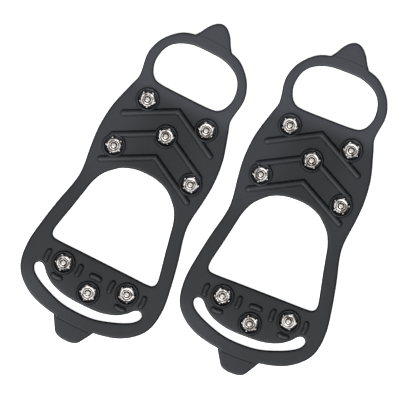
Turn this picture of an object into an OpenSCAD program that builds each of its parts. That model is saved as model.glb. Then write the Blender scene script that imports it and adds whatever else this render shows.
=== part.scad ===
// A pair of stretch-on shoe ice cleats: two rubber harnesses with riveted star studs.
// The pair lies flat with the shoe side down, studs up. +Y runs from heel to toe of the left
// cleat, +Z is up, and the origin is under the middle of the pair's bounding box.

/* [Harness] */
// Length of one cleat from the toe tab's tip to the heel tab's tip
cleat_l = 220; // [200:5:250]
// Thickness of the rubber mat
mat_t = 3.2; // [2.8:0.2:4]
// Thickness of the heel tab, which is thinner than the band
heel_tab_t = 2; // [1.6:0.2:2.6]
// Height of the chevron ribs above the mat
rib_h = 1.4; // [0.8:0.1:1.8]
// Width of a chevron rib
rib_w = 3.6; // [2.6:0.2:4.4]
// Height of the heel's short bars above the mat
bar_h = 1.2; // [0.6:0.1:1.6]
// Width of a heel bar
bar_w = 3.1; // [2.5:0.1:3.5]

/* [Studs] */
// Outer radius of the raised collar around a stud
collar_r = 7.4; // [7:0.2:8]
// Height of the collar above the mat
collar_h = 1.4; // [1:0.2:2]
// Radius of the recess inside the collar
recess_r = 5.7; // [5.5:0.1:6]
// Radius over the claws of a star crown
crown_r = 5.2; // [4.8:0.1:5.3]
// Height of the claws' tips above the crown plate
claw_h = 2.8; // [2:0.2:3.6]
// Radius of the rivet's shank
shank_r = 1.5; // [1.2:0.1:1.8]
// Radius of the rivet's flat head
head_r = 4.2; // [3.6:0.1:4.6]
// Radius of the backing washer
washer_r = 5.2; // [4.8:0.1:5.4]

/* [Pair] */
// Sideways distance of the right cleat's middle from the left cleat's
pair_x = 90.9; // [90:1:120]
// Distance that the right cleat lies ahead of the left one
pair_y = 27.8; // [0:1:40]
// Turn of the right cleat against the left one, counter-clockwise
pair_turn = 5.7; // [0:0.1:8]

/* [Hidden] */
$fn = 48;
sides = ["left", "right"];
stud_numbers = [1, 2, 3, 4, 5, 6, 7, 8];

// The outlines and places below are for a cleat of this length; plan_scale fits them to cleat_l.
drawn_l = 220;
plan_scale = cleat_l / drawn_l;

// Where the studs stand, and which of them are under the forefoot and under the heel
studs = [[-20.5, 47.3], [20.8, 46.4], [0, 31.8], [-26.4, 12.3], [27.2, 11.9],
         [-21.4, -67], [22.7, -67], [0.6, -77]];
forefoot_studs = [1, 2, 3, 4, 5];
heel_studs = [6, 7, 8];
// Angle of each crown's first claw
claw_turn = [2, 48, 19, 54, 16, 54, 8, 50];

// Right halves of the closed curves, from the toe end to the heel end.
body_half = [[0, 98], [12, 96.9], [21, 93.7], [28.9, 86], [32.7, 78], [33.5, 71], [32.2, 62.5], [32, 57],
             [34.2, 50], [38.7, 34], [40.1, 19], [39.3, 6], [37.5, -9], [38.3, -19], [42, -34],
             [45.2, -50], [47.2, -65], [45.8, -78], [40.5, -86.8], [30.2, -94], [16, -97.9], [0, -99]];
toe_hole_half = [[0, 90.7], [11.3, 90], [20.6, 86], [25.4, 80], [27, 72], [25.8, 66], [22.9, 61.6],
                 [17.5, 59.6], [0, 59.3]];
arch_half = [[0, 5.4], [8, 4.7], [15.4, 2], [20.5, -2], [25, -7], [28.2, -14], [30, -22], [32.5, -34],
             [35, -45], [36.1, -51.5], [35, -54.8], [31, -55.9], [16, -55.9], [0, -55.9]];
slot_half = [[0, -85.5], [12, -84.9], [21.5, -82.2], [27.6, -78.3], [31.4, -74.3], [34.4, -73.1],
             [36.9, -75], [36.2, -78.4], [32.3, -82], [24, -86], [12, -89.8], [0, -90.8]];
toe_tab_half = [[0, 110.1], [4, 108.6], [7.6, 104.8], [10.4, 100], [13, 96], [13, 92], [0, 92]];
// The heel tab's outline starts inside the band.
heel_tab_half = [[0, -96], [14, -96], [13.6, -98.4], [10, -104.6], [7.4, -108.2], [3.6, -110], [0, -110]];
// The heel pad's part inside the slot: its edge runs along the middle of the slot.
tongue_half = [[0, -60], [34.3, -60], [34.3, -76.3], [30, -80.2], [22.8, -84.1], [12, -87.3], [0, -88.1]];

// How far the pull tabs stand to the right of the cleat's middle line
toe_tab_x = 0.5;
heel_tab_x = 1;

// Bending lines of the rubber, and the gap left on the far side of each
toe_bend_y = 62 * plan_scale;
arch_bend_y = -34 * plan_scale;
heel_bend_y = -75 * plan_scale;
bend_gap = mat_t / 2 + 0.5;
// More than the harness reaches to any side, and a length that passes right through a stud
far = 200 * plan_scale;
through = 10;

// Chevron ribs: the apexes, half the span and the slope of the arms
chevron_apex_y = [49.3, 34.2, 17.3];
chevron_reach = 30.2;
chevron_slope = 28;

// Short bars of the heel, which curve around its studs: half the angle between the round ends
bar_half_angle = 14;
// Each bar's stud, its angle around that stud and its distance from it
heel_bars = [[6, 0, 11.1], [6, 180, 11.3], [6, 270, 9.9],
             [7, 0, 11.3], [7, 180, 11.1], [7, 270, 9.9], [8, 90, 11.1]];

// The riveted stack above the shoe side: the rivet's head, the washer on it, and their pocket
head_z = 0.1;
head_t = 0.7;
washer_t = 0.6;
pocket_z = head_z + head_t + washer_t;
pocket_r = 5.5;
shank_gap = 0.05;
// The recess's floor on the stud side, and the crown's plate and raised hub on it
recess_z = mat_t - 0.6;
plate_t = 0.8;
plate_r = 4.2;
hub_r = 2.7;
hub_h = 0.7;
// Width of a claw at its root and at its tip, and its thickness at the tip
claw_root_w = 3.2;
claw_tip_w = 0.9;
claw_tip_t = 0.5;
// The rivet's clenched end: how far it stands above the hub, and how much of that is domed
rivet_rise = 1.2;
dome_h = 0.6;

function mirrored(half) = [for (i = [len(half) - 1:-1:0]) if (half[i][0] > 0) [-half[i][0], half[i][1]]];
function closed(half) = concat(half, mirrored(half));

// A point at t between b and c, on the smooth curve that passes a, b, c and d
function between(a, b, c, d, t) =
    0.5 * (2 * b + (c - a) * t + (2 * a - 5 * b + 4 * c - d) * t * t + (3 * b - a - 3 * c + d) * t * t * t);
function smooth(loop, steps) = [
    for (i = [0:len(loop) - 1], j = [0:steps - 1])
        let (n = len(loop), before = loop[(i + n - 1) % n], here = loop[i],
             next = loop[(i + 1) % n], after = loop[(i + 2) % n])
            plan_scale * between(before, here, next, after, j / steps)
];
function turned(p, a) = [p[0] * cos(a) - p[1] * sin(a), p[0] * sin(a) + p[1] * cos(a)];

body_loop = smooth(closed(body_half), 5);
toe_hole_loop = smooth(closed(toe_hole_half), 5);
arch_loop = smooth(closed(arch_half), 5);
slot_loop = smooth(closed(slot_half), 5);

// The pair's bounding box, from the outlines of both cleats
tab_tips = [[toe_tab_x * plan_scale, cleat_l / 2], [heel_tab_x * plan_scale, -cleat_l / 2]];
left_edge = concat(body_loop, tab_tips);
right_edge = [for (p = left_edge) turned(p, pair_turn) + [pair_x, pair_y] * plan_scale];
pair_edge = concat(left_edge, right_edge);
xs = [for (p = pair_edge) p[0]];
ys = [for (p = pair_edge) p[1]];
middle = [(min(xs) + max(xs)) / 2, (min(ys) + max(ys)) / 2];

module place(side) {
    translate([-middle[0], -middle[1], 0])
        if (side == "left") children();
        else translate([pair_x * plan_scale, pair_y * plan_scale, 0]) rotate(pair_turn) children();
}

module at_stud(i) {
    translate([studs[i - 1][0] * plan_scale, studs[i - 1][1] * plan_scale, 0]) children();
}

// Everything inside the outer edge, without the openings
module harness_outline() {
    difference() {
        union() {
            polygon(body_loop);
            translate([toe_tab_x * plan_scale, 0]) polygon(plan_scale * closed(toe_tab_half));
        }
        polygon(toe_hole_loop);
        polygon(arch_loop);
        polygon(slot_loop);
    }
}

// The part of the plane between two distances along Y
module span_y(low, high) {
    translate([-far, low]) square([2 * far, high - low]);
}

// What lies inside the heel slot's middle line and belongs to the heel pad
module tongue_zone() {
    polygon(plan_scale * closed(tongue_half));
}

// A slab of rubber over a flat shape, cut along a bending line and rounded about it.
// The slab keeps the side that "away" points to: 1 towards the toe, -1 towards the heel.
module bending_slab(bend_y, away) {
    intersection() {
        linear_extrude(mat_t) children();
        union() {
            translate([-far, away > 0 ? bend_y : bend_y - far, -1]) cube([2 * far, far, mat_t + 2]);
            translate([-far, bend_y, mat_t / 2]) rotate([0, 90, 0]) cylinder(r = mat_t / 2, h = 2 * far);
        }
    }
}

module chevron_rib(apex_y) {
    arm = chevron_reach * plan_scale / cos(chevron_slope);
    for (side = [0, 1])
        mirror([side, 0])
            translate([0, apex_y * plan_scale]) rotate(-chevron_slope) {
                translate([0, -rib_w / 2]) square([arm, rib_w]);
                translate([arm, 0]) circle(r = rib_w / 2);
                circle(r = rib_w / 2);
            }
}

module heel_bar(stud, angle, reach) {
    at_stud(stud) rotate(angle) {
        rotate(-bar_half_angle)
            rotate_extrude(angle = 2 * bar_half_angle)
                translate([reach - bar_w / 2, 0]) square([bar_w, mat_t + bar_h]);
        for (a = [-1, 1] * bar_half_angle)
            rotate(a) translate([reach, 0]) cylinder(r = bar_w / 2, h = mat_t + bar_h);
    }
}

module collar() {
    cylinder(r = collar_r, h = mat_t + collar_h);
}

// The recess for the crown, the hole for the rivet and the pocket for its washer and head
module stud_seat() {
    translate([0, 0, recess_z]) cylinder(r = recess_r, h = through);
    translate([0, 0, -1]) cylinder(r = shank_r + shank_gap, h = through);
    translate([0, 0, -1]) cylinder(r = pocket_r, h = pocket_z + 1);
}

module forefoot_pad() {
    color("dimgray")
        difference() {
            union() {
                linear_extrude(mat_t)
                    intersection() {
                        harness_outline();
                        span_y(arch_bend_y + bend_gap, toe_bend_y - bend_gap);
                    }
                for (y = chevron_apex_y) linear_extrude(mat_t + rib_h) chevron_rib(y);
                for (i = forefoot_studs) at_stud(i) collar();
            }
            for (i = forefoot_studs) at_stud(i) stud_seat();
        }
}

module heel_pad() {
    color("dimgray")
        difference() {
            union() {
                bending_slab(arch_bend_y, -1)
                    intersection() {
                        harness_outline();
                        union() {
                            span_y(heel_bend_y + bend_gap, arch_bend_y + mat_t);
                            tongue_zone();
                        }
                    }
                for (b = heel_bars) heel_bar(b[0], b[1], b[2]);
                for (i = heel_studs) at_stud(i) collar();
            }
            for (i = heel_studs) at_stud(i) stud_seat();
        }
}

module toe_loop() {
    color("slategray")
        bending_slab(toe_bend_y, 1)
            intersection() {
                harness_outline();
                span_y(toe_bend_y - mat_t, far);
            }
}

module heel_band() {
    color("slategray") {
        bending_slab(heel_bend_y, -1)
            difference() {
                intersection() {
                    harness_outline();
                    span_y(-far, heel_bend_y + mat_t);
                }
                tongue_zone();
            }
        linear_extrude(heel_tab_t)
            difference() {
                translate([heel_tab_x * plan_scale, 0]) polygon(plan_scale * closed(heel_tab_half));
                polygon(slot_loop);
            }
    }
}

// A stamped star: a plate with five turned-up claws and a raised middle
module star_crown(i) {
    color("silver")
        at_stud(i) translate([0, 0, recess_z]) rotate(claw_turn[i - 1])
            difference() {
                union() {
                    cylinder(r = plate_r, h = plate_t);
                    cylinder(r = hub_r, h = plate_t + hub_h);
                    for (c = [0:4]) rotate(72 * c) claw();
                }
                translate([0, 0, -1]) cylinder(r = shank_r + shank_gap, h = through);
            }
}

// One claw along +X: its outline from the side, narrowed to a trapezoid as seen from outside
module claw() {
    root = plate_r - 1;
    top = plate_t + claw_h;
    intersection() {
        rotate([90, 0, 0])
            linear_extrude(claw_root_w, center = true)
                polygon([[root, 0], [crown_r, 0], [crown_r, top],
                         [crown_r - claw_tip_t, top], [root, plate_t]]);
        rotate([90, 0, 90])
            linear_extrude(crown_r + 1)
                polygon([[-claw_root_w / 2, -1], [claw_root_w / 2, -1],
                         [claw_tip_w / 2, top + 1], [-claw_tip_w / 2, top + 1]]);
    }
}

// A rivet with a flat head under the mat and a domed end above the crown's hub
module rivet(i) {
    tip_z = recess_z + plate_t + hub_h + rivet_rise;
    color("lightgray")
        at_stud(i)
            rotate_extrude()
                polygon([[0, head_z], [head_r, head_z], [head_r, head_z + head_t], [shank_r, head_z + head_t],
                         [shank_r, tip_z - dome_h], [0.8 * shank_r, tip_z - dome_h / 3],
                         [0.4 * shank_r, tip_z], [0, tip_z]]);
}

module backing_washer(i) {
    color("gray")
        at_stud(i)
            difference() {
                translate([0, 0, head_z + head_t]) cylinder(r = washer_r, h = washer_t);
                cylinder(r = shank_r + shank_gap, h = through);
            }
}

for (s = sides) {
    place(s) forefoot_pad();
    place(s) toe_loop();
    place(s) heel_pad();
    place(s) heel_band();
    for (i = stud_numbers) {
        place(s) star_crown(i);
        place(s) rivet(i);
        place(s) backing_washer(i);
    }
}
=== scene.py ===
import math

import bmesh
import bpy
import numpy as np
from mathutils import Matrix, Vector
from mathutils.geometry import delaunay_2d_cdt


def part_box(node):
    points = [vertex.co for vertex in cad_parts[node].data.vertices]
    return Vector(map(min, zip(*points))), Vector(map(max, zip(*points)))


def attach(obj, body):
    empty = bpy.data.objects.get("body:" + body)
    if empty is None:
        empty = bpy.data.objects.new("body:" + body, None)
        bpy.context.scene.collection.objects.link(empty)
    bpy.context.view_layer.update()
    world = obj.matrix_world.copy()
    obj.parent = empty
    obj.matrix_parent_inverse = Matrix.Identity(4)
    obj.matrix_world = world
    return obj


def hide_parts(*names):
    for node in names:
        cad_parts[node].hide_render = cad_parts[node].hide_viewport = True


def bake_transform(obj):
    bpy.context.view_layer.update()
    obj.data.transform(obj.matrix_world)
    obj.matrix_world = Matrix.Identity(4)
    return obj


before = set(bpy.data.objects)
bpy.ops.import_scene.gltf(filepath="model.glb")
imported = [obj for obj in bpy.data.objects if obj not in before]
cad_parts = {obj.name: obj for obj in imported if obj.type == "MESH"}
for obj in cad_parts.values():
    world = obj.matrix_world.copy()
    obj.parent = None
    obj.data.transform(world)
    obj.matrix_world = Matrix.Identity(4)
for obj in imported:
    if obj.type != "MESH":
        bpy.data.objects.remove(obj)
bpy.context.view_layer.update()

# A pair of stretch-on shoe ice cleats. Each rubber harness is one moulded surface, built flat in the
# cleat's own frame in millimetres (Y from heel to toe) and then cut at its bending zones into two pads that
# each ride on a body and three pieces that stay unattached. Crowns, rivets and washers are modelled once.

MM = 0.001
SIDES = ("left", "right")
STUD_NUMBERS = range(1, 9)

# ---------------------------------------------------------------- sizes shared with the CAD model
# Lengths are in millimetres, and a height Z is above the shoe side.
MAT_T = 3.2
HEEL_TAB_T = 2.0
RIB_H = 1.4
RIB_W = 3.6
BAR_H = 1.2
BAR_W = 3.1
RECESS_Z = 2.6
POCKET_Z = 1.4
POCKET_R = 5.5
STUDS = [(-20.5, 47.3), (20.8, 46.4), (0, 31.8), (-26.4, 12.3), (27.2, 11.9),
         (-21.4, -67), (22.7, -67), (0.6, -77)]
FOREFOOT_STUDS = 5
# Angle of each crown's first claw, in degrees
CLAW_TURN = [2, 48, 19, 54, 16, 54, 8, 50]
# Chevron ribs: where their apexes lie, half their span, the slope of their arms and an arm's length
CHEVRON_APEX_Y = [49.3, 34.2, 17.3]
CHEVRON_REACH = 30.2
CHEVRON_SLOPE = math.radians(28)
ARM = CHEVRON_REACH / math.cos(CHEVRON_SLOPE)
# Each heel bar: the stud that it curves around, its angle in degrees and its distance
HEEL_BARS = [(6, 0, 11.1), (6, 180, 11.3), (6, 270, 9.9),
             (7, 0, 11.3), (7, 180, 11.1), (7, 270, 9.9), (8, 90, 11.1)]
BAR_HALF_ANGLE = math.radians(14)

# Right halves of the closed outlines, from the toe end to the heel end
BODY = [(0, 98), (12, 96.9), (21, 93.7), (28.9, 86), (32.7, 78), (33.5, 71), (32.2, 62.5), (32, 57),
        (34.2, 50), (38.7, 34), (40.1, 19), (39.3, 6), (37.5, -9), (38.3, -19), (42, -34), (45.2, -50),
        (47.2, -65), (45.8, -78), (40.5, -86.8), (30.2, -94), (16, -97.9), (0, -99)]
TOE_HOLE = [(0, 90.7), (11.3, 90), (20.6, 86), (25.4, 80), (27, 72), (25.8, 66), (22.9, 61.6), (17.5, 59.6),
            (0, 59.3)]
ARCH = [(0, 5.4), (8, 4.7), (15.4, 2), (20.5, -2), (25, -7), (28.2, -14), (30, -22), (32.5, -34), (35, -45),
        (36.1, -51.5), (35, -54.8), (31, -55.9), (16, -55.9), (0, -55.9)]
SLOT = [(0, -85.5), (12, -84.9), (21.5, -82.2), (27.6, -78.3), (31.4, -74.3), (34.4, -73.1), (36.9, -75),
        (36.2, -78.4), (32.3, -82), (24, -86), (12, -89.8), (0, -90.8)]
# Each pull tab stands a little to the right of the middle line.
TOE_TAB_X = 0.5
TOE_TAB = [(0, 110.1), (4, 108.6), (7.6, 104.8), (10.4, 100), (13, 96), (13, 92), (0, 92)]
HEEL_TAB_X = 1.0
# The last point but one is 0.25 mm short of CAD's, where the smooth curve would dent the tab's end.
HEEL_TAB = [(0, -96), (14, -96), (13.6, -98.4), (10, -104.6), (7.4, -108.2), (3.6, -109.75), (0, -110)]
TONGUE = [(0, -60), (34.3, -60), (34.3, -76.3), (30, -80.2), (22.8, -84.1), (12, -87.3), (0, -88.1)]

# ---------------------------------------------------------------- shapes that the plain CAD model lacks
TOE_TAB_T = 3.1
TOP_ROUND = 1.4
BOTTOM_ROUND = 0.5
COLLAR_CREST_R = 6.6
# The groove at the foot of the ribs and bars
GROOVE_W = 0.48
GROOVE_DEPTH = 0.18
# Where a pull tab leaves the harness: the step's width, the width of the groove at its foot, and that
# groove's depth as a share of the step's height
STEP_WIDTH = 0.4
STEP_FOOT = 0.5
STEP_FOOT_DEPTH = 0.2

# ---------------------------------------------------------------- mesh resolution
# Distances between the points of an edge, of an open face and of a chevron's contour
EDGE_STEP = 0.75
FILL_STEP = 1.5
ARM_STEP = 1.0
# As shares of a step: how far apart the rows of a triangular grid lie, and how far from any line's points
ROW_PITCH = 0.866
CLEARANCE = 0.6
# How finely rounded edges, rings around a stud, and the contours of chevrons and bars are divided
ROUND_ROWS = 7
RING_POINTS = 72
ARM_END_POINTS = 12
BAR_SIDE_POINTS = 9
BAR_END_STEPS = 10
# Distances within which points are one: on drawn lines and cuts, and where the harness is welded
SNAP = 1e-4
WELD = 0.002
# Below this a length or an area counts as nothing
TINY = 1e-12

# Lines across the harness where it is cut into pieces, each at the end of a bending zone or outside it
TOE_CUT, ARCH_CUT_FRONT, ARCH_CUT_BACK, HEEL_CUT = 61.6, -21.0, -47.0, -74.0


# ================================================================ plane geometry
def closed(half):
    """A closed loop from its right half, mirrored about the Y axis."""
    return np.array(half + [(-x, y) for x, y in reversed(half) if x > 0], float)


def smooth(half, steps=10):
    """The smooth closed (Catmull-Rom) curve through a half outline's points and their mirror images."""
    b = closed(half)
    a, c, d = np.roll(b, 1, 0), np.roll(b, -1, 0), np.roll(b, -2, 0)
    square = 2 * a - 5 * b + 4 * c - d
    cube = 3 * b - a - 3 * c + d
    rows = [0.5 * (2 * b + (c - a) * t + square * t**2 + cube * t**3) for t in np.arange(steps) / steps]
    return np.stack(rows, 1).reshape(-1, 2)


def area(loop):
    """The area inside a closed loop, which is negative if it runs clockwise."""
    x, y = loop.T
    return 0.5 * float(np.sum(x * np.roll(y, -1) - np.roll(x, -1) * y))


def anticlockwise(loop):
    """The same closed loop, turned round if it runs clockwise."""
    return loop if area(loop) > 0 else loop[::-1]


def resample(loop, step):
    """The same closed loop with points at an even distance of about one step."""
    chain = np.vstack([loop, loop[:1]])
    along = np.concatenate([[0], np.cumsum(np.hypot(*np.diff(chain, axis=0).T))])
    at = np.linspace(0, along[-1], round(along[-1] / step), endpoint=False)
    return np.column_stack([np.interp(at, along, chain[:, 0]), np.interp(at, along, chain[:, 1])])


def without_repeats(loop):
    """The same closed loop without points that coincide."""
    gap = np.hypot(*(loop - np.roll(loop, 1, 0)).T)
    return loop[gap > SNAP]


def inside(loop, points):
    """Which of the points lie inside a closed loop."""
    x, y = points.T
    odd = np.zeros(len(points), bool)
    for (x1, y1), (x2, y2) in zip(loop, np.roll(loop, -1, 0)):
        if y1 == y2:
            continue
        crosses = ((y1 > y) != (y2 > y)) & (x < (x2 - x1) * (y - y1) / (y2 - y1) + x1)
        odd ^= crosses
    return odd


def region(loops, points):
    """Which of the points lie inside the first loop and outside all others."""
    result = inside(loops[0], points)
    for hole in loops[1:]:
        result &= ~inside(hole, points)
    return result


def distance_to(loop, points):
    """Distance from each point to a closed polyline."""
    best = np.full(len(points), np.inf)
    for a, b in zip(loop, np.roll(loop, -1, 0)):
        ab = b - a
        t = np.clip(((points - a) @ ab) / max(ab @ ab, TINY), 0, 1)
        best = np.minimum(best, np.hypot(*(points - a - t[:, None] * ab).T))
    return best


def hit(p, q, loop):
    """Where the segment from p to q crosses a closed loop, or its middle if rounding hides the crossing."""
    d = q - p
    for a, b in zip(loop, np.roll(loop, -1, 0)):
        e = b - a
        det = d[0] * e[1] - d[1] * e[0]
        if abs(det) < TINY:
            continue
        s = ((a - p)[0] * e[1] - (a - p)[1] * e[0]) / det
        t = ((a - p)[0] * d[1] - (a - p)[1] * d[0]) / det
        if 0 <= s <= 1 and 0 <= t <= 1:
            return p + s * d
    return (p + q) / 2


def outer_run(loop, other):
    """The points of a loop that lie outside another, in order, with the crossings at both ends."""
    hidden = inside(other, loop)
    start = next(i for i in range(len(loop)) if hidden[i - 1] and not hidden[i])
    run = []
    for i in range(start, start + len(loop)):
        if hidden[i % len(loop)]:
            break
        run.append(loop[i % len(loop)])
    first = hit(loop[start - 1], run[0], other)
    last = hit(run[-1], loop[(start + len(run)) % len(loop)], other)
    return [first] + run + [last]


def with_tab(body, tab_half, tab_x):
    """The outline of a body and a tab that pokes out of it at one place, a little to the side."""
    tab = anticlockwise(smooth(tab_half)) + (tab_x, 0)
    return np.array(outer_run(body, tab)[:-1] + outer_run(tab, body)[:-1])


def inward(loop, material_inside):
    """Unit vectors from each point of an anticlockwise loop into the rubber."""
    edge = np.roll(loop, -1, 0) - loop
    edge /= np.hypot(*edge.T)[:, None]
    normal = np.column_stack([-edge[:, 1], edge[:, 0]])
    mean = normal + np.roll(normal, 1, 0)
    mean /= np.hypot(*mean.T)[:, None]
    return mean if material_inside else -mean


# ================================================================ the mat's relief
def arm_frame(points, apex_y):
    """Distance along and across a chevron's arm, for points on either side of the middle."""
    x = np.abs(points[:, 0])
    y = points[:, 1] - apex_y
    along = x * math.cos(CHEVRON_SLOPE) - y * math.sin(CHEVRON_SLOPE)
    across = x * math.sin(CHEVRON_SLOPE) + y * math.cos(CHEVRON_SLOPE)
    return along, across


def chevron_distance(points, apex_y):
    """Distance from each point to a chevron's middle line."""
    along, across = arm_frame(points, apex_y)
    return np.where(along <= ARM, np.abs(across), np.hypot(along - ARM, across))


def chevron_contour(apex_y, offset):
    """The closed line that keeps one distance from a chevron's middle line."""
    c, s = math.cos(CHEVRON_SLOPE), math.sin(CHEVRON_SLOPE)

    def point(along, across):
        return (along * c + across * s, apex_y - along * s + across * c)

    count = int(ARM / ARM_STEP)
    start_up = -offset * s / c
    upper = [point(start_up + (ARM - start_up) * i / count, offset) for i in range(count + 1)]
    turns = np.linspace(math.pi / 2, -math.pi / 2, ARM_END_POINTS)[1:-1]
    end = [point(ARM + offset * math.cos(a), offset * math.sin(a)) for a in turns]
    start_low = offset * s / c
    lower = [point(ARM + (start_low - ARM) * i / count, -offset) for i in range(count + 1)]
    right = [(max(x, 0.0), y) for x, y in upper + end + lower]
    left = [(-x, y) for x, y in reversed(right[1:-1])]
    return np.array(right + left)


def bar_distance(points, bar):
    """Distance from each point to a heel bar's middle line."""
    stud, angle, reach = bar
    rel = points - STUDS[stud - 1]
    r = np.hypot(*rel.T)
    turn = np.arctan2(rel[:, 1], rel[:, 0]) - math.radians(angle)
    turn = (turn + math.pi) % (2 * math.pi) - math.pi
    end = np.array([math.cos(BAR_HALF_ANGLE), math.sin(BAR_HALF_ANGLE)]) * reach
    folded = np.column_stack([r * np.cos(turn), r * np.abs(np.sin(turn))])
    return np.where(np.abs(turn) <= BAR_HALF_ANGLE, np.abs(r - reach), np.hypot(*(folded - end).T))


def bar_contour(bar, offset):
    """The closed line that keeps one distance from a heel bar's middle line."""
    stud, angle, reach = bar
    sweep = np.linspace(-BAR_HALF_ANGLE, BAR_HALF_ANGLE, BAR_SIDE_POINTS)
    far, near = reach + offset, reach - offset
    outer = [(far * math.cos(a), far * math.sin(a)) for a in sweep]
    inner = [(near * math.cos(a), near * math.sin(a)) for a in sweep[::-1]]
    caps = []
    for sign in (1, -1):
        ex, ey = reach * math.cos(BAR_HALF_ANGLE), sign * reach * math.sin(BAR_HALF_ANGLE)
        start = sign * BAR_HALF_ANGLE + (0 if sign > 0 else math.pi)
        turns = [start + math.pi * i / BAR_END_STEPS for i in range(1, BAR_END_STEPS)]
        caps.append([(ex + offset * math.cos(t), ey + offset * math.sin(t)) for t in turns])
    loop = np.array(outer + caps[0] + inner + caps[1])
    base = math.radians(angle)
    spin = np.array([[math.cos(base), -math.sin(base)], [math.sin(base), math.cos(base)]])
    return loop @ spin.T + STUDS[stud - 1]


def bead(distance, width, height):
    """Height of a raised bead with a round top, and below 0 the depth of the fine groove at its foot."""
    share = np.clip(distance / (width / 2), 0, 1)
    beyond = np.clip((distance - width / 2) / GROOVE_W, 0, 1)
    return height * np.sqrt(1 - share**2) - GROOVE_DEPTH * np.sin(math.pi * beyond)


# Radius from the stud's middle, and height above the shoe side, of the collar and of the pocket below it
COLLAR_PROFILE = [(0, RECESS_Z), (5.2, RECESS_Z), (5.4, 2.72), (5.6, 3.15), (5.85, 3.8), (6.05, 4.25),
                  (6.3, 4.52), (COLLAR_CREST_R, 4.6), (6.85, 4.5), (7.03, 4.25), (7.15, 3.85),
                  (7.22, 3.4), (7.3, 3.07), (7.4, 3.0), (7.52, 3.05), (7.64, 3.14), (7.74, MAT_T),
                  (7.95, MAT_T)]
POCKET_PROFILE = [(0, POCKET_Z), (5.3, POCKET_Z), (5.45, POCKET_Z - 0.1), (POCKET_R, POCKET_Z - 0.3),
                  (POCKET_R + 0.02, 0.15), (POCKET_R + 0.17, 0.0)]
# Rows of points on a bead, as shares of half its width, and across its groove, as shares of GROOVE_W
BEAD_ROWS = [0.17, 0.39, 0.58, 0.72, 0.83, 0.92, 0.975, 1.0]
GROOVE_ROWS = [0.25, 0.5, 0.75, 1.0, 1.45]


def profile_height(points, profile, outside):
    """Height of the ring profiles around all studs, and "outside" beyond them."""
    z = np.full(len(points), outside, float)
    radii, heights = zip(*profile)
    for stud in STUDS:
        r = np.hypot(*(points - stud).T)
        near = r < radii[-1]
        z[near] = np.interp(r[near], radii, heights)
    return z


def smoothstep(low, high, value):
    """0 below one value and 1 above another, with a smooth rise between them."""
    share = np.clip((value - low) / (high - low), 0, 1)
    return share * share * (3 - 2 * share)


def beyond_body(points):
    """How far each point of a pull tab lies outside the harness's own outline."""
    return np.where(inside(BODY_LOOP, points), 0, distance_to(BODY_LOOP, points))


def mat_thickness(points):
    """Thickness of the plain mat, which steps down to a groove where a pull tab leaves it."""
    beyond = beyond_body(points)
    step = MAT_T - np.where(points[:, 1] > 0, TOE_TAB_T, HEEL_TAB_T)
    foot = np.clip((beyond - STEP_WIDTH) / STEP_FOOT, 0, 1)
    return MAT_T - step * (smoothstep(0, STEP_WIDTH, beyond) + STEP_FOOT_DEPTH * np.sin(math.pi * foot))


def top_height(points):
    """Height of the stud side. Beads win over grooves, and a collar wins over all inside its crest."""
    beads = [bead(chevron_distance(points, apex_y), RIB_W, RIB_H) for apex_y in CHEVRON_APEX_Y]
    beads += [bead(bar_distance(points, bar), BAR_W, BAR_H) for bar in HEEL_BARS]
    collars = profile_height(points, COLLAR_PROFILE, MAT_T) - MAT_T
    relief = np.vstack(beads + [collars])
    raised = np.where(relief.max(0) > 0, relief.max(0), relief.min(0))
    inner = np.min([np.hypot(*(points - stud).T) for stud in STUDS], 0) < COLLAR_CREST_R
    return mat_thickness(points) + np.where(inner, collars, raised)


def bottom_height(points):
    """Height of the shoe side, which is flat but for the studs' pockets."""
    return profile_height(points, POCKET_PROFILE, 0.0)


BODY_LOOP = anticlockwise(smooth(BODY))
OUTER = with_tab(with_tab(BODY_LOOP, TOE_TAB, TOE_TAB_X), HEEL_TAB, HEEL_TAB_X)
HOLES = [anticlockwise(smooth(half)) for half in (TOE_HOLE, ARCH, SLOT)]


# ================================================================ the rubber's painted light
# Where the painted light of each zone fades in: along Y, from the middle line to a side, and up a wall to
# the face
TOE_FADE = (46, 60)
FOREFOOT_FADE = (-25, 0)
HEEL_END_FADE = (72, 88)
SIDE_FADE = (8, 30)
FACE_FADE = (-1.0, -0.15)
# How strong the painted light is in each zone, against 1 on the toe loop
HEEL_END_PAINTED_LIGHT = 0.26
SIDE_PAINTED_LIGHT = 0.14
FOREFOOT_SIDE_PAINTED_LIGHT = 0.2
# How much more painted light the left side gets than the middle, and how far out that side is
FOREFOOT_LEFT_PAINTED_LIGHT = 0.12
HEEL_END_LEFT_PAINTED_LIGHT = 0.22
LEFT_REACH = 30
# A tab's step counts as mat up to this share of its width, just short of the row of points at its foot.
STEP_END = 0.99


# Painted light: the share of a paler tone that stands in for the light falling on each part of the rubber
def painted_light(points):
    """How much painted light the rubber gets, as a paler tone: most on the toe loop, some on the band and
    along the sides, more on the left than on the right, and none on the walls and the tabs' steps."""
    x, y, z = points.T
    before_foot = beyond_body(points[:, :2]) < STEP_END * STEP_WIDTH
    plateau = np.where(before_foot, MAT_T, np.where(y > 0, TOE_TAB_T, HEEL_TAB_T))
    face = smoothstep(*FACE_FADE, z - plateau)
    toe = smoothstep(*TOE_FADE, y)
    forefoot = smoothstep(*FOREFOOT_FADE, y) * (1 - toe)
    heel_end = smoothstep(*HEEL_END_FADE, -y)
    sides = (SIDE_PAINTED_LIGHT + FOREFOOT_SIDE_PAINTED_LIGHT * forefoot) * smoothstep(*SIDE_FADE, np.abs(x))
    leftward = np.clip(-x / LEFT_REACH, -1, 1)
    left = (FOREFOOT_LEFT_PAINTED_LIGHT * forefoot + HEEL_END_LEFT_PAINTED_LIGHT * heel_end) * leftward
    return face * np.clip(toe + HEEL_END_PAINTED_LIGHT * heel_end + sides + left, 0, 1)


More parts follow.
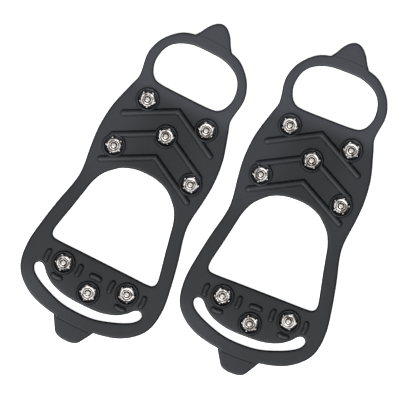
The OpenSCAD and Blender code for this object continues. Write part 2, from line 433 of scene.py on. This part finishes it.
# ================================================================ the harness as one closed surface
def fill_points(step, low, high):
    """An even triangular grid over a box."""
    rows = []
    for j, y in enumerate(np.arange(low[1], high[1], step * ROW_PITCH)):
        x = np.arange(low[0], high[0], step) + (step / 2 if j % 2 else 0)
        rows.append(np.column_stack([x, np.full(len(x), y)]))
    return np.vstack(rows)


def ring(centre, radius):
    """A circle of points."""
    a = np.linspace(0, 2 * math.pi, RING_POINTS, endpoint=False)
    return np.column_stack([centre[0] + radius * np.cos(a), centre[1] + radius * np.sin(a)])


def bead_offsets(width):
    """Distances from a bead's middle line at which its surface gets a row of points."""
    return [width / 2 * row for row in BEAD_ROWS] + [width / 2 + GROOVE_W * row for row in GROOVE_ROWS]


def relief_contours():
    """Closed lines along which the stud side's relief changes its slope."""
    lines = []
    for stud in STUDS:
        lines += [ring(stud, radius) for radius, _ in COLLAR_PROFILE[1:]]
    for apex_y in CHEVRON_APEX_Y:
        lines += [without_repeats(chevron_contour(apex_y, offset)) for offset in bead_offsets(RIB_W)]
    for bar in HEEL_BARS:
        lines += [bar_contour(bar, offset) for offset in bead_offsets(BAR_W)]
    return lines


# Rows of points at a tab's step and at the groove at its foot, as shares of their widths
STEP_ROWS = (-0.6, 0, 0.3, 0.7, 1)
FOOT_ROWS = (0.25, 0.5, 0.75, 1, 1.5)
# A tab's root lies within this distance of the middle line, and the rows stop this far short of its edge
TAB_ROOT_REACH = 16
ROW_MARGIN = 0.05


def step_contours():
    """Open lines beside the harness's own outline where a pull tab leaves it."""
    lines = []
    normals = inward(BODY_LOOP, True)
    step = [STEP_WIDTH * share for share in STEP_ROWS]
    foot = [STEP_WIDTH + STEP_FOOT * share for share in FOOT_ROWS]
    for offset in step + foot:
        moved = BODY_LOOP - normals * offset
        deep = inside(OUTER, moved) & (distance_to(OUTER, moved) > TOP_ROUND + ROW_MARGIN)
        for sign in (1, -1):
            chosen = deep & (moved[:, 1] * sign > 0) & (np.abs(moved[:, 0]) < TAB_ROOT_REACH)
            points = moved[chosen]
            lines.append(points[np.argsort(points[:, 0])])
    return [line for line in lines if len(line) > 2]


def joined_lines(closed_lines, open_lines):
    """The points of all the lines, and the edges between neighbours."""
    edges = []
    base = 0
    for number, line in enumerate(closed_lines + open_lines):
        last = base + len(line) - 1
        edges += [(i, i + 1) for i in range(base, last)]
        if number < len(closed_lines):
            edges.append((last, base))
        base = last + 1
    return np.vstack(closed_lines + open_lines), edges


def clear_of(fixed, grid, step):
    """The points of a grid that keep their distance from all the fixed points."""
    cells = {}
    for x, y in fixed:
        cells.setdefault((int(x // step), int(y // step)), []).append((x, y))
    keep = []
    for x, y in grid:
        i, j = int(x // step), int(y // step)
        near = [q for a in (-1, 0, 1) for b in (-1, 0, 1) for q in cells.get((i + a, j + b), [])]
        keep.append(all((x - qx) ** 2 + (y - qy) ** 2 > (CLEARANCE * step) ** 2 for qx, qy in near))
    return grid[np.array(keep)]


def triangulate(loops, contours, open_lines, step):
    """A conforming triangulation of the region between boundary loops, as points and triangles."""
    fixed, edges = joined_lines(loops + contours, open_lines)
    grid = clear_of(fixed, fill_points(step, fixed.min(0), fixed.max(0)), step)
    grid = grid[region(loops, grid)]
    every = np.vstack([fixed, grid])
    vertices, _, faces, *_ = delaunay_2d_cdt([Vector(p) for p in every], edges, [], 0, SNAP, False)
    flat = np.array([(v.x, v.y) for v in vertices])
    triangles = np.array([f for f in faces if len(f) == 3])
    middle = flat[triangles].mean(1)
    return flat, triangles[region(loops, middle)]


def rounding(radius, rows):
    """Distance in from the wall and drop below the face, for each row of a rounded edge."""
    angles = np.linspace(0, math.pi / 2, rows)
    return [(radius * (1 - math.cos(a)), radius * (1 - math.sin(a))) for a in angles]


def wall_rows(loop, normal):
    """The rows of a rounded wall from the shoe side up to the stud side, as flat points and heights."""
    rows = []
    for reach, drop in reversed(rounding(BOTTOM_ROUND, ROUND_ROWS - 1)):
        row = loop + normal * reach
        rows.append((row, np.full(len(row), drop)))
    for reach, drop in rounding(TOP_ROUND, ROUND_ROWS):
        row = loop + normal * reach
        rows.append((row, mat_thickness(row) - drop))
    return rows


def harness_mesh():
    """Vertices and faces of the whole flat harness, in the cleat's frame, in millimetres."""
    loops = [resample(OUTER, EDGE_STEP)] + [resample(h, EDGE_STEP) for h in HOLES]
    into = [inward(loops[0], True)] + [inward(h, False) for h in loops[1:]]
    vertices = []
    faces = []

    def add(points, z):
        base = len(vertices)
        vertices.extend((x, y, h) for (x, y), h in zip(points, z))
        return base

    for loop, normal in zip(loops, into):
        rows = [add(points, z) for points, z in wall_rows(loop, normal)]
        for low, high in zip(rows, rows[1:]):
            for i in range(len(loop)):
                j = (i + 1) % len(loop)
                quad = (low + i, low + j, high + j, high + i)
                faces.append(quad if loop is loops[0] else quad[::-1])

    top_loops = [loop + normal * TOP_ROUND for loop, normal in zip(loops, into)]
    flat, triangles = triangulate(top_loops, relief_contours(), step_contours(), FILL_STEP)
    base = add(flat, top_height(flat))
    faces.extend(tuple(base + t) for t in triangles)

    bottom_loops = [loop + normal * BOTTOM_ROUND for loop, normal in zip(loops, into)]
    pockets = [ring(stud, radius) for stud in STUDS for radius, _ in POCKET_PROFILE[1:]]
    flat, triangles = triangulate(bottom_loops, pockets, [], 2 * FILL_STEP)
    base = add(flat, bottom_height(flat))
    faces.extend(tuple(base + t[::-1]) for t in triangles)
    return vertices, faces


def cut_harness():
    """The whole harness as one welded surface, with edges where it is cut into pieces."""
    vertices, faces = harness_mesh()
    whole = bpy.data.meshes.new("harness_whole")
    whole.from_pydata(vertices, [], [tuple(int(i) for i in f) for f in faces])
    bm = bmesh.new()
    bm.from_mesh(whole)
    bpy.data.meshes.remove(whole)
    bmesh.ops.remove_doubles(bm, verts=bm.verts, dist=WELD)
    bmesh.ops.recalc_face_normals(bm, faces=bm.faces)
    for cut_y in (TOE_CUT, ARCH_CUT_FRONT, ARCH_CUT_BACK, HEEL_CUT):
        everything = bm.verts[:] + bm.edges[:] + bm.faces[:]
        bmesh.ops.bisect_plane(bm, geom=everything, dist=SNAP, plane_co=(0, cut_y, 0), plane_no=(0, 1, 0))
    return bm


def piece_names(centres):
    """The name of the piece that each face belongs to, from the middles of the faces."""
    y = centres[:, 1]
    names = np.where(y > TOE_CUT, "toe_loop", "forefoot_pad")
    names[y < ARCH_CUT_FRONT] = "arch_straps"
    names[y < ARCH_CUT_BACK] = "heel_pad"
    names[(y < HEEL_CUT) & ~inside(closed(TONGUE), centres)] = "heel_band"
    return names


def cut_piece(bm, names, name):
    """One piece of the cut harness as mesh data: smooth, with flat ends at its cuts, and with its share of
    painted light.
    """
    part = bm.copy()
    part.faces.ensure_lookup_table()
    others = [f for f, n in zip(part.faces, names) if n != name]
    bmesh.ops.delete(part, geom=others, context="FACES")
    for face in part.faces:
        face.smooth = True
    rim = [e for e in part.edges if e.is_boundary]
    for end in bmesh.ops.holes_fill(part, edges=rim, sides=0)["faces"]:
        end.smooth = False
        for edge in end.edges:
            edge.smooth = False
    bmesh.ops.recalc_face_normals(part, faces=part.faces)
    # Each vertex's share of painted light
    layer = part.verts.layers.float.new("painted_light")
    for vert, share in zip(part.verts, painted_light(np.array([v.co for v in part.verts]))):
        vert[layer] = share
    data = bpy.data.meshes.new(name)
    part.to_mesh(data)
    part.free()
    return data


def harness_pieces():
    """The harness cut at its bending zones: {piece name: mesh data in the cleat's frame}."""
    bm = cut_harness()
    names = piece_names(np.array([f.calc_center_median()[:2] for f in bm.faces]))
    pieces = {name: cut_piece(bm, names, name) for name in sorted(set(names))}
    bm.free()
    return pieces


# ================================================================ each cleat's place in the pair's frame
# The two studs whose rivets show where a packed cleat lies
FRONT_STUD = 3
BACK_STUD = 8


def middle_of(node):
    """The middle of a CAD node's box."""
    low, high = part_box(node)
    return (Vector(low) + Vector(high)) / 2


def cleat_matrix(side):
    """From the cleat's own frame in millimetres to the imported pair's frame in metres."""
    x, y = STUDS[FRONT_STUD - 1]
    here = Vector((x, y)) - Vector(STUDS[BACK_STUD - 1])
    front = middle_of(f"{side}_rivet_{FRONT_STUD}").to_2d()
    there = front - middle_of(f"{side}_rivet_{BACK_STUD}").to_2d()
    turn = math.atan2(there.y, there.x) - math.atan2(here.y, here.x)
    scale = Matrix.Scale(there.length / here.length, 4)
    turned = Matrix.Rotation(turn, 4, "Z") @ scale
    return Matrix.Translation((*front, 0)) @ turned @ Matrix.Translation((-x, -y, 0))


def place(mesh, name, matrix, material):
    """A new object with its own copy of a mesh, at a matrix that is baked into its vertices."""
    data = mesh.copy()
    data.transform(matrix)
    data.name = name
    data.materials.clear()
    data.materials.append(material)
    piece = bpy.data.objects.new(name, data)
    bpy.context.scene.collection.objects.link(piece)
    return piece


# ================================================================ the steel studs
def revolve(profile, count):
    """A closed surface of revolution about Z. Its (radius, height) points start and end on the axis, or
    they go round a section that is clear of it."""
    bm = bmesh.new()
    rings = []
    for radius, height in profile:
        if radius == 0:
            rings.append([bm.verts.new((0, 0, height))])
            continue
        turns = [2 * math.pi * i / count for i in range(count)]
        spots = [(radius * math.cos(a), radius * math.sin(a), height) for a in turns]
        rings.append([bm.verts.new(spot) for spot in spots])
    if profile[0][0] > 0:
        rings.append(rings[0])
    for low, high in zip(rings, rings[1:]):
        for i in range(count):
            j = (i + 1) % count
            corners = [low[i % len(low)], low[j % len(low)], high[j % len(high)], high[i % len(high)]]
            bm.faces.new(list(dict.fromkeys(corners)))
    return bm


def finished(bm, name, sharp_degrees=50):
    """The mesh data of a bmesh, smooth but for its sharp edges."""
    bmesh.ops.recalc_face_normals(bm, faces=bm.faces)
    for face in bm.faces:
        face.smooth = True
    for edge in bm.edges:
        if len(edge.link_faces) == 2 and edge.calc_face_angle() > math.radians(sharp_degrees):
            edge.smooth = False
    data = bpy.data.meshes.new(name)
    bm.to_mesh(data)
    bm.free()
    return data


# Radius of the crown plate
RIM_R = 4.3
# Radius and height above the recess floor, out along the crown plate's stamped top and back underneath
CROWN_TOP = [(1.57, 0.3), (1.8, 0.34), (1.9, 0.62), (1.96, 1.1), (2.02, 1.4), (2.12, 1.5), (2.68, 1.5),
             (2.78, 1.4), (2.83, 1.1), (2.87, 0.75), (2.92, 0.6), (3.02, 0.6), (3.08, 0.76), (3.2, 0.83),
             (3.6, 0.9), (4.0, 0.95), (4.2, 0.94), (RIM_R, 0.82)]
CROWN_UNDER = [(4.28, 0.5), (4.1, 0.2), (3.8, 0.02), (1.62, 0.02)]
# The scallops start at this radius and are deepest at the rim.
SCALLOP_START_R = 3.4
SCALLOPS = 15
SCALLOP_DEPTH = 0.13
CLAWS = 5
# Along a claw's middle line: radius, height above the recess floor, width and thickness
CLAW_PATH = [(3.3, 0.25, 3.5, 0.46), (3.9, 0.25, 3.7, 0.48), (4.15, 0.32, 3.6, 0.5), (4.4, 0.52, 3.1, 0.5),
             (4.62, 0.9, 2.55, 0.5), (4.78, 1.4, 2.05, 0.5), (4.89, 2.0, 1.6, 0.5), (4.96, 2.6, 1.25, 0.5),
             (4.98, 3.05, 1.1, 0.6), (4.98, 3.28, 1.05, 0.62), (4.98, 3.4, 0.88, 0.48)]
# Points of a claw's section, which lies between an ellipse (power 1) and a rectangle (power 0)
SECTION_POINTS = 16
SIDE_POWER = 0.45
FACE_POWER = 0.6


def crown_plate(bm, count=150):
    """The stamped plate with its raised ring and scalloped rim."""
    rows = []
    for radius, height in CROWN_TOP + CROWN_UNDER:
        share = max(0.0, (radius - SCALLOP_START_R) / (RIM_R - SCALLOP_START_R))
        row = []
        for i in range(count):
            a = 2 * math.pi * i / count
            r = radius + share * SCALLOP_DEPTH * math.cos(SCALLOPS * a)
            row.append(bm.verts.new((r * math.cos(a), r * math.sin(a), height)))
        rows.append(row)
    for low, high in zip(rows, rows[1:] + rows[:1]):
        for i in range(count):
            j = (i + 1) % count
            bm.faces.new((low[i], low[j], high[j], high[i]))


def squared(value, power):
    """A cosine or sine, moved towards 1 or -1 so that it draws a section with fuller corners."""
    return math.copysign(abs(value) ** power, value)


def claw(bm, angle):
    """One turned-up claw, lofted along its path with a rounded section and a blunt point."""
    rows = []
    for i, (radius, height, width, thick) in enumerate(CLAW_PATH):
        before, after = CLAW_PATH[max(0, i - 1)], CLAW_PATH[min(len(CLAW_PATH) - 1, i + 1)]
        along = Vector((after[0] - before[0], 0, after[1] - before[1])).normalized()
        across = Vector((-along.z, 0, along.x))
        row = []
        for k in range(SECTION_POINTS):
            t = 2 * math.pi * (k + 0.5) / SECTION_POINTS
            side = squared(math.cos(t), SIDE_POWER) * width / 2
            out = squared(math.sin(t), FACE_POWER) * thick / 2
            spot = Vector((radius, 0, height)) + across * out + Vector((0, side, 0))
            row.append(bm.verts.new(Matrix.Rotation(angle, 3, "Z") @ spot))
        rows.append(row)
    for low, high in zip(rows, rows[1:]):
        for k in range(SECTION_POINTS):
            j = (k + 1) % SECTION_POINTS
            bm.faces.new((low[k], low[j], high[j], high[k]))
    bm.faces.new(rows[0][::-1])
    bm.faces.new(rows[-1])


def crown_mesh():
    """A stamped plate with its five claws, as closed shells that run into each other."""
    bm = bmesh.new()
    crown_plate(bm)
    for i in range(CLAWS):
        claw(bm, 2 * math.pi * i / CLAWS)
    return finished(bm, "star_crown")


# Radius and height above the shoe side of the rivet, from its flat head to its domed end, and of the washer
RIVET_PROFILE = [(0, 0.1), (3.7, 0.1), (4.02, 0.17), (4.18, 0.36), (4.18, 0.6), (4.1, 0.76), (1.5, 0.8),
                 (1.5, 3.1), (1.62, 3.3), (1.65, 4.85), (1.61, 5.02), (1.5, 5.14), (1.34, 5.21),
                 (1.1, 5.26), (0.7, 5.29), (0.38, 5.3), (0.27, 5.26), (0.14, 5.16), (0, 5.13)]
WASHER_PROFILE = [(1.62, 0.82), (4.95, 0.82), (5.12, 0.88), (5.2, 1.0), (5.2, 1.22), (5.12, 1.34),
                  (4.95, 1.4), (1.62, 1.4)]


def rivet_mesh():
    return finished(revolve(RIVET_PROFILE, count=48), "rivet", sharp_degrees=40)


def washer_mesh():
    return finished(revolve(WASHER_PROFILE, count=64), "backing_washer", sharp_degrees=40)


# ================================================================ materials
class Nodes:
    """A short way to write a node material."""

    def __init__(self, name):
        self.material = bpy.data.materials.new(name)
        self.material.use_nodes = True
        self.tree = self.material.node_tree
        self.shader = self.tree.nodes["Principled BSDF"]
        self.place = self.node("ShaderNodeTexCoord").outputs["Object"]

    def node(self, kind, **settings):
        """A new node of one kind, with its settings."""
        made = self.tree.nodes.new(kind)
        for key, value in settings.items():
            setattr(made, key, value)
        return made

    def link(self, source, target):
        self.tree.links.new(source, target)

    def noise(self, scale, detail=4.0, rough=0.55):
        """Noise with about "scale" grains in a metre."""
        made = self.node("ShaderNodeTexNoise")
        made.inputs["Scale"].default_value = scale
        made.inputs["Detail"].default_value = detail
        made.inputs["Roughness"].default_value = rough
        self.link(self.place, made.inputs["Vector"])
        return made.outputs["Fac"]

    def ramp(self, source, stops):
        """A colour ramp with (position, colour or grey value) stops."""
        made = self.node("ShaderNodeValToRGB")
        while len(made.color_ramp.elements) < len(stops):
            made.color_ramp.elements.new(0.5)
        for element, (position, value) in zip(made.color_ramp.elements, stops):
            element.position = position
            element.color = (value, value, value, 1) if isinstance(value, float) else (*value, 1)
        self.link(source, made.inputs["Fac"])
        return made.outputs["Color"]

    def mix(self, factor, a, b):
        """Colour a where the factor is 0 and colour b where it is 1."""
        made = self.node("ShaderNodeMix", data_type="RGBA")
        self.link(factor, made.inputs["Factor"])
        self.link(a, made.inputs["A"])
        self.link(b, made.inputs["B"])
        return made.outputs["Result"]

    def height(self, low, high):
        """0 below one height in metres and 1 above another."""
        split = self.node("ShaderNodeSeparateXYZ")
        self.link(self.place, split.inputs[0])
        made = self.node("ShaderNodeMapRange")
        made.inputs["From Min"].default_value = low
        made.inputs["From Max"].default_value = high
        self.link(split.outputs["Z"], made.inputs["Value"])
        return made.outputs["Result"]

    def bump(self, layers):
        """Bumps from (height source, strength, distance in metres), one on another."""
        previous = None
        for source, strength, distance in layers:
            made = self.node("ShaderNodeBump")
            made.inputs["Strength"].default_value = strength
            made.inputs["Distance"].default_value = distance
            self.link(source, made.inputs["Height"])
            if previous:
                self.link(previous, made.inputs["Normal"])
            previous = made.outputs["Normal"]
        self.link(previous, self.shader.inputs["Normal"])

    def set(self, **values):
        """The shader's own inputs, with _ for a space in their names."""
        for key, value in values.items():
            self.shader.inputs[key.replace("_", " ")].default_value = value


def rubber_material():
    """Black moulded rubber: satin, with a faint mould grain, and painted light as a paler, cooler tone
    towards the ends, the sides and the left.
    """
    n = Nodes("moulded_rubber")
    grain = n.noise(2600.0, 3.0, 0.6)
    mottle = n.noise(420.0, 5.0, 0.62)
    black = n.ramp(mottle, [(0.3, (0.0040, 0.0056, 0.0076)), (0.75, (0.0080, 0.0098, 0.0124))])
    # Painted light: the paler, cooler tone that the rubber shows where the light falls more
    painted_light_tone = n.ramp(mottle, [(0.3, (0.039, 0.043, 0.055)), (0.75, (0.048, 0.053, 0.066))])
    share = n.node("ShaderNodeAttribute", attribute_name="painted_light").outputs["Fac"]
    n.link(n.mix(share, black, painted_light_tone), n.shader.inputs["Base Color"])
    n.link(n.ramp(mottle, [(0.25, 0.50), (0.75, 0.60)]), n.shader.inputs["Roughness"])
    n.bump([(mottle, 0.10, 0.0002), (grain, 0.14, 0.00008)])
    n.set(IOR=1.5, Specular_IOR_Level=0.5)
    return n.material


# Heights in metres: from the recess floor to just above the claws' tips, for the crown's zones of painted
# shade, and from where the rivet's painted shade ends to where it is plain steel
CROWN_Z = (RECESS_Z * MM, 6.1 * MM)
RIVET_Z = (4.6 * MM, 4.9 * MM)


def crown_material():
    """Nickel plate: plain bright nickel on the plate, its raised ring and the claws' tips, and painted
    shade in dark brown in the groove, under the rim, up the claws' flanks and in scattered patches."""
    n = Nodes("nickel_plate")
    streak = n.noise(900.0, 4.0)
    shade_noise = n.noise(1500.0, 3.0)
    bright = n.ramp(streak, [(0.3, (0.74, 0.715, 0.69)), (0.7, (0.86, 0.84, 0.82))])
    # Painted shade: dark brown for the groove, the underside of the rim, the claws' flanks and random
    # patches
    painted_shade_brown = n.ramp(shade_noise, [(0.35, (0.06, 0.045, 0.038)), (0.7, (0.20, 0.155, 0.135))])
    level = n.height(*CROWN_Z)
    # Painted shade by height: 0 where the crown is shaded, 1 where it is plain nickel
    shade_by_height = n.ramp(level, [(0.18, 0.0), (0.23, 1.0), (0.47, 1.0), (0.54, 0.0), (0.80, 0.0), (0.88, 1.0)])
    # Random patches of painted shade on the plate
    unshaded_patches = n.ramp(n.noise(330.0, 3.0), [(0.40, 0.15), (0.54, 1.0)])
    n.link(n.mix(shade_by_height, painted_shade_brown, n.mix(unshaded_patches, painted_shade_brown, bright)), n.shader.inputs["Base Color"])
    n.link(n.ramp(streak, [(0.3, 0.18), (0.75, 0.28)]), n.shader.inputs["Roughness"])
    n.bump([(streak, 0.03, 0.00004)])
    n.set(Metallic=1.0)
    return n.material


def rivet_material():
    """Polished rivet steel with a warm tint and fine turning marks, and painted shade below the dome, on
    the shank and the head.
    """
    n = Nodes("rivet_steel")
    mark = n.noise(2200.0, 3.0)
    warm = n.ramp(mark, [(0.3, (0.54, 0.50, 0.46)), (0.75, (0.68, 0.64, 0.60))])
    # Painted shade for the rivet below its dome
    shank_shade = n.ramp(mark, [(0.3, (0.05, 0.04, 0.034)), (0.75, (0.12, 0.095, 0.08))])
    n.link(n.mix(n.height(*RIVET_Z), shank_shade, warm), n.shader.inputs["Base Color"])
    n.link(n.ramp(mark, [(0.3, 0.24), (0.8, 0.36)]), n.shader.inputs["Roughness"])
    n.bump([(mark, 0.05, 0.00005)])
    n.set(Metallic=1.0)
    return n.material


def washer_material():
    """Plain zinc plate, duller than the studs."""
    n = Nodes("zinc_plate")
    spangle = n.noise(700.0, 4.0)
    grey = n.ramp(spangle, [(0.3, (0.42, 0.43, 0.44)), (0.7, (0.60, 0.60, 0.60))])
    n.link(grey, n.shader.inputs["Base Color"])
    n.link(n.ramp(spangle, [(0.3, 0.32), (0.8, 0.5)]), n.shader.inputs["Roughness"])
    n.bump([(spangle, 0.1, 0.00005)])
    n.set(Metallic=1.0)
    return n.material


def floor_material():
    """Plain white studio paper, which glows so that it stays white under soft light."""
    n = Nodes("studio_paper")
    fibre = n.noise(60.0, 4.0)
    white = n.ramp(fibre, [(0.3, (0.93, 0.93, 0.93)), (0.7, (0.95, 0.95, 0.95))])
    n.link(white, n.shader.inputs["Base Color"])
    n.set(Roughness=0.9, Emission_Color=(1, 1, 1, 1), Emission_Strength=0.75)
    return n.material


def add_harness(side, matrix, meshes, rubber):
    """One cleat's rubber: two pads that each ride on a body, and three pieces that stay unattached, with
    their placing baked into their vertices.
    """
    pieces = {name: place(mesh, f"{side}_rubber_{name}", matrix, rubber) for name, mesh in meshes.items()}
    forefoot, heel = f"{side}_forefoot", f"{side}_heel"
    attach(pieces["forefoot_pad"], forefoot)
    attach(pieces["heel_pad"], heel)
    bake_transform(pieces["toe_loop"])
    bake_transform(pieces["arch_straps"])
    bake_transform(pieces["heel_band"])
    for name in ("forefoot_pad", "toe_loop", "heel_pad", "heel_band"):
        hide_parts(f"{side}_{name}")


def add_studs(side, matrix, crown, rivet, washer, materials):
    """One cleat's eight studs, each a crown, a rivet and a washer."""
    for number in STUD_NUMBERS:
        body = f"{side}_forefoot" if number <= FOREFOOT_STUDS else f"{side}_heel"
        x, y = STUDS[number - 1]
        spot = matrix @ Matrix.Translation((x, y, 0))
        turn = Matrix.Rotation(math.radians(CLAW_TURN[number - 1]), 4, "Z")
        raised = Matrix.Translation((0, 0, RECESS_Z))
        for kind, mesh, at in (
            ("star_crown", crown, spot @ raised @ turn),
            ("rivet", rivet, spot @ turn),
            ("backing_washer", washer, spot),
        ):
            piece = place(mesh, f"{side}_{kind}_shape_{number}", at, materials[kind])
            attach(piece, body)
            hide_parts(f"{side}_{kind}_{number}")


def build_pair():
    """Both cleats, from meshes and materials that they share."""
    meshes = harness_pieces()
    rubber = rubber_material()
    steel = {
        "star_crown": crown_material(),
        "rivet": rivet_material(),
        "backing_washer": washer_material(),
    }
    crown, rivet, washer = crown_mesh(), rivet_mesh(), washer_mesh()
    for side in SIDES:
        matrix = cleat_matrix(side)
        add_harness(side, matrix, meshes, rubber)
        add_studs(side, matrix, crown, rivet, washer, steel)


# ================================================================ stage, light and camera
# The camera looks straight down, turned by CAMERA_ROLL degrees. Lengths are in metres, and SENSOR is in
# millimetres.
FLOOR_DROP = 0.0003
FLOOR_SIZE = 12.0
CAMERA_ROLL = 26.8
CAMERA_HEIGHT = 2.4
VIEW_WIDTH = 0.2593
VIEW_CENTRE = (-0.0053, -0.0098)
SENSOR = 36.0
CLIP_END = 50.0
# Each softbox: azimuth and elevation in degrees, distance and side in metres, radiance
SOFTBOXES = {
    "overhead": (185, 82, 3.0, 2.2, 1.36),
    "heel_side": (186, 38, 3.2, 3.0, 4.5),
    "left_side": (275, 45, 3.2, 2.2, 1.0),
    "right_side": (85, 45, 3.2, 2.0, 1.3),
    "toe_side": (0, 28, 3.2, 1.8, 0.12),
}


def add_floor():
    """A floor just under the pair, which neither lights it nor shows in its metal."""
    bpy.ops.mesh.primitive_plane_add(size=FLOOR_SIZE, location=(0, 0, -FLOOR_DROP))
    floor = bpy.context.object
    floor.name = "floor"
    floor.data.materials.append(floor_material())
    floor.visible_glossy = False
    floor.visible_diffuse = False


def add_softbox(name, azimuth, elevation, distance, size, radiance):
    """A square softbox that faces the origin; azimuth 0 is on the toe side and 90 on the right."""
    light = bpy.data.lights.new(name, "AREA")
    light.shape = "SQUARE"
    light.size = size
    # The power of a flat lamp of this size and radiance
    light.energy = math.pi * size**2 * radiance
    box = bpy.data.objects.new(name, light)
    around, up = math.radians(azimuth), math.radians(elevation)
    direction = Vector((math.sin(around) * math.cos(up), math.cos(around) * math.cos(up), math.sin(up)))
    box.location = direction * distance
    box.rotation_euler = direction.to_track_quat("Z", "Y").to_euler()
    box.visible_camera = False
    bpy.context.scene.collection.objects.link(box)


def add_light():
    """Softboxes, and a white world that only the camera sees."""
    world = bpy.data.worlds.new("studio")
    bpy.context.scene.world = world
    world.use_nodes = True
    world.node_tree.nodes["Background"].inputs["Color"].default_value = (1, 1, 1, 1)
    world.node_tree.nodes["Background"].inputs["Strength"].default_value = 1.0
    world.cycles_visibility.diffuse = False
    world.cycles_visibility.glossy = False
    bpy.context.scene.view_settings.view_transform = "Standard"
    for name, settings in SOFTBOXES.items():
        add_softbox(name, *settings)


def add_camera():
    """A long lens, high above the pair."""
    lens = bpy.data.cameras.new("camera")
    lens.sensor_width = SENSOR
    lens.lens = SENSOR * CAMERA_HEIGHT / VIEW_WIDTH
    lens.clip_end = CLIP_END
    camera = bpy.data.objects.new("camera", lens)
    camera.location = (*VIEW_CENTRE, CAMERA_HEIGHT)
    camera.rotation_euler = (0, 0, math.radians(CAMERA_ROLL))
    bpy.context.scene.collection.objects.link(camera)
    bpy.context.scene.camera = camera


build_pair()
add_floor()
add_light()
add_camera()
